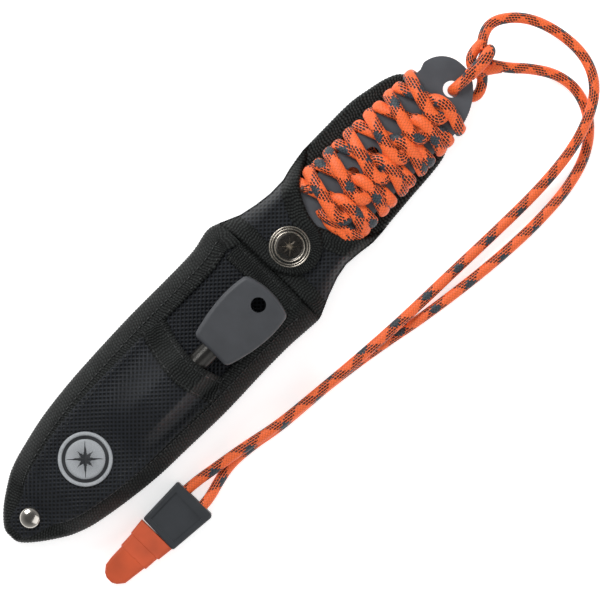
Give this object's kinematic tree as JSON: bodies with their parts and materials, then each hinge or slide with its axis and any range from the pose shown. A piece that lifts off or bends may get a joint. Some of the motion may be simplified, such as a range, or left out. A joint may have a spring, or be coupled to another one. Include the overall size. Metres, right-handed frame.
{
  "type": "sheathed knife",
  "caption": "Cord-wrapped fixed-blade knife in a fabric belt sheath with snap straps, a fire starter in its front pocket, and a cord lanyard with a whistle.",
  "frame": {"origin": "centre of the sheathed knife's footprint, without its lanyard, at the level of the belt loop's outer face", "axes": "+Y along the knife from the blade's tip to the pommel, +Z out of the sheath's front, +X towards the lanyard side (the blade's spine)"},
  "size_m": [0.0885, 0.281, 0.0332],
  "materials": {
    "nylon_weave": "coarse nylon weave",
    "edge_tape": "ribbed grosgrain tape",
    "webbing": "woven nylon webbing",
    "stitching": "bonded nylon thread",
    "foam": "closed-cell foam",
    "liner_plastic": "moulded, matt",
    "embroidery": "embroidered thread",
    "rivet_nickel": "bright nickel plate",
    "snap_nickel": "dark nickel plate",
    "coated_steel": "matt grey coating",
    "paracord": "braided nylon sheath",
    "whistle_black": "moulded, fine grain",
    "whistle_orange": "moulded, soft",
    "grip_plastic": "moulded, fine grain",
    "ferro_rod": "dull drawn rod"
  },
  "bodies": {
    "sheath": {"back_panel": "nylon_weave", "back_foam": "foam", "liner_back": "liner_plastic", "liner_front": "liner_plastic", "front_panel": "nylon_weave", "pocket_panel": "nylon_weave", "pocket_hem": "edge_tape", "mouth_binding": "edge_tape", "pouch_binding": "edge_tape", "handle_binding": "edge_tape", "emblem": "embroidery", "tip_rivet_cap": "rivet_nickel", "tip_rivet_post": "rivet_nickel", "tip_rivet_washer": "rivet_nickel", "belt_loop": "webbing", "belt_loop_bartacks": "stitching", "strap_left_root": "nylon_weave", "strap_right_root": "nylon_weave"},
    "knife": {"knife_steel": "coated_steel", "wrap_strand_a": "paracord", "wrap_strand_b": "paracord", "lanyard_loop": "paracord", "lanyard_knot": "paracord", "lanyard_left": "paracord", "lanyard_right": "paracord", "whistle_body": "whistle_black", "whistle_mouthpiece": "whistle_orange"},
    "strap_left": {"strap_left": "nylon_weave", "strap_left_binding": "edge_tape", "snap_cap": "snap_nickel", "snap_socket": "snap_nickel"},
    "strap_right": {"strap_right": "nylon_weave", "strap_right_binding": "edge_tape", "snap_stud": "snap_nickel", "snap_post": "snap_nickel"},
    "fire_starter": {"fire_starter_handle": "grip_plastic", "fire_starter_rod": "ferro_rod"}
  },
  "joints": [
    {"name": "knife_draw", "type": "slide", "parent": "sheath", "child": "knife", "axis": [0, 1, 0], "range_m": [0, 0.15]},
    {"name": "strap_left_fold", "type": "hinge", "parent": "sheath", "child": "strap_left", "pos_m": [-0.0177, 0.0302, 0.014], "axis": [0, -1, 0], "range_deg": [0, 140]},
    {"name": "strap_right_fold", "type": "hinge", "parent": "sheath", "child": "strap_right", "pos_m": [0.0179, 0.0302, 0.014], "axis": [0, 1, 0], "range_deg": [0, 49]},
    {"name": "fire_starter_draw", "type": "slide", "parent": "sheath", "child": "fire_starter", "axis": [0, 0.999, 0.0454], "range_m": [0, 0.1]}
  ],
  "couplings": [
    {"joint": "strap_right_fold", "follows": "strap_left_fold", "ratio": 0.35}
  ]
}
